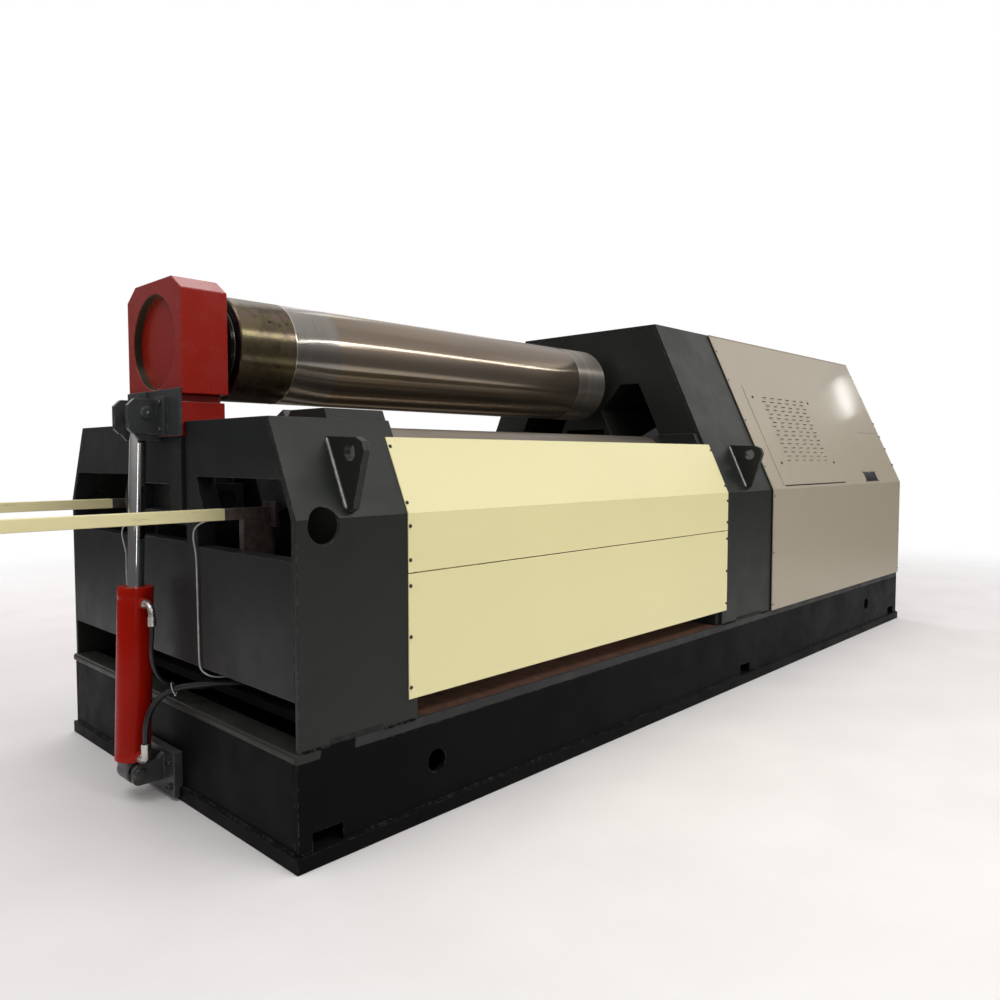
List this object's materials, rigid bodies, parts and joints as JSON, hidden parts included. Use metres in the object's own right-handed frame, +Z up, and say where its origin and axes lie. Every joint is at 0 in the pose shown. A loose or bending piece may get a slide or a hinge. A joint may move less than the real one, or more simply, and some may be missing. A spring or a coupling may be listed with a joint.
{
  "type": "plate rolling machine",
  "caption": "Four-roll plate bending machine with a hydraulic tilting drop end, side rolls in slanted guides, cover panels and an enclosed drive housing on a plate base.",
  "frame": {"origin": "centre of the base's underside, on the floor", "axes": "+X along the rolls towards the drive housing, +Y to the rear, +Z up"},
  "size_m": [7.17, 2.356, 2.36],
  "materials": {
    "frame_grey": "satin",
    "cover_cream": "satin",
    "housing_beige": "gloss",
    "bar_cream": "satin",
    "bracket_dark": "satin",
    "block_red": "gloss",
    "cylinder_red": "gloss",
    "rod_chrome": "polished",
    "roll_steel": "turned",
    "box_iron": "rough",
    "fitting_steel": "plated",
    "hose_rubber": "satin",
    "cable_pale": "smooth"
  },
  "bodies": {
    "frame": {"base_flange": "frame_grey", "base_side_walls": "frame_grey", "base_end_walls": "frame_grey", "base_top_plate": "frame_grey", "base_end_lip": "frame_grey", "left_stand_end_plate": "frame_grey", "left_stand_guide_plate": "frame_grey", "left_stand_front_cover": "frame_grey", "left_stand_rear_cover": "frame_grey", "left_stand_top_strips": "frame_grey", "drop_end_pivot_bearings": "frame_grey", "right_stand_guide_plate": "frame_grey", "right_stand_end_plate": "frame_grey", "right_stand_front_cover": "frame_grey", "right_stand_rear_cover": "frame_grey", "right_stand_top_plate": "frame_grey", "right_stand_cheek_plates": "frame_grey", "front_upper_cover": "cover_cream", "front_lower_cover": "cover_cream", "rear_upper_cover": "cover_cream", "rear_lower_cover": "cover_cream", "housing_front_lower_panel": "housing_beige", "housing_front_upper_panel": "housing_beige", "housing_rear_lower_panel": "housing_beige", "housing_rear_upper_panel": "housing_beige", "housing_top_panel": "housing_beige", "housing_end_panel": "housing_beige", "housing_vent_door": "housing_beige", "lifting_lugs": "frame_grey", "side_bars": "bar_cream", "cylinder_foot_bracket": "bracket_dark", "upper_hose": "hose_rubber", "lower_hose": "hose_rubber", "front_sensor_cable": "cable_pale", "rear_sensor_cable": "cable_pale"},
    "drop_end": {"drop_end_block": "block_red", "drop_end_neck": "block_red", "drop_end_leg": "frame_grey", "rod_clevis_bracket": "bracket_dark"},
    "tilt_barrel": {"tilt_cylinder_barrel": "cylinder_red", "hose_fittings": "fitting_steel"},
    "tilt_rod": {"tilt_cylinder_rod": "rod_chrome"},
    "top_roll": {"top_roll": "roll_steel"},
    "bottom_carriage": {"bottom_bearing_boxes": "box_iron"},
    "bottom_roll": {"bottom_roll": "roll_steel"},
    "front_carriage": {"front_bearing_boxes": "box_iron"},
    "front_side_roll": {"front_side_roll": "roll_steel"},
    "rear_carriage": {"rear_bearing_boxes": "box_iron"},
    "rear_side_roll": {"rear_side_roll": "roll_steel"}
  },
  "joints": [
    {"name": "top_roll_spin", "type": "hinge", "parent": "frame", "child": "top_roll", "pos_m": [-1.585, 0, 1.98], "axis": [1, 0, 0], "continuous": true},
    {"name": "bottom_roll_lift", "type": "slide", "parent": "frame", "child": "bottom_carriage", "axis": [0, 0, 1], "range_m": [0, 0.085]},
    {"name": "bottom_roll_spin", "type": "hinge", "parent": "bottom_carriage", "child": "bottom_roll", "pos_m": [-1.363, 0, 1.41], "axis": [1, 0, 0], "continuous": true},
    {"name": "front_roll_lift", "type": "slide", "parent": "frame", "child": "front_carriage", "axis": [0, 0.4384, 0.8988], "range_m": [0, 0.28]},
    {"name": "front_roll_spin", "type": "hinge", "parent": "front_carriage", "child": "front_side_roll", "pos_m": [-1.378, -0.516, 1.44], "axis": [1, 0, 0], "continuous": true},
    {"name": "rear_roll_lift", "type": "slide", "parent": "frame", "child": "rear_carriage", "axis": [0, -0.4384, 0.8988], "range_m": [0, 0.28]},
    {"name": "rear_roll_spin", "type": "hinge", "parent": "rear_carriage", "child": "rear_side_roll", "pos_m": [-1.378, 0.516, 1.44], "axis": [1, 0, 0], "continuous": true},
    {"name": "drop_end_tilt", "type": "hinge", "parent": "frame", "child": "drop_end", "pos_m": [-3.035, 0, 1.29], "axis": [0, -1, 0], "range_deg": [0, 75]},
    {"name": "tilt_cylinder_swing", "type": "hinge", "parent": "frame", "child": "tilt_barrel", "pos_m": [-3.312, 0, 0.125], "axis": [0, -1, 0], "range_deg": [0, 12.5]},
    {"name": "tilt_rod_slide", "type": "slide", "parent": "tilt_barrel", "child": "tilt_rod", "axis": [-0.0388, 0, -0.9992], "range_m": [0, 0.465]}
  ],
  "couplings": [
    {"joint": "tilt_cylinder_swing", "follows": "drop_end_tilt", "ratio": 0.163},
    {"joint": "tilt_rod_slide", "follows": "drop_end_tilt", "m_per_rad": 0.35166}
  ]
}
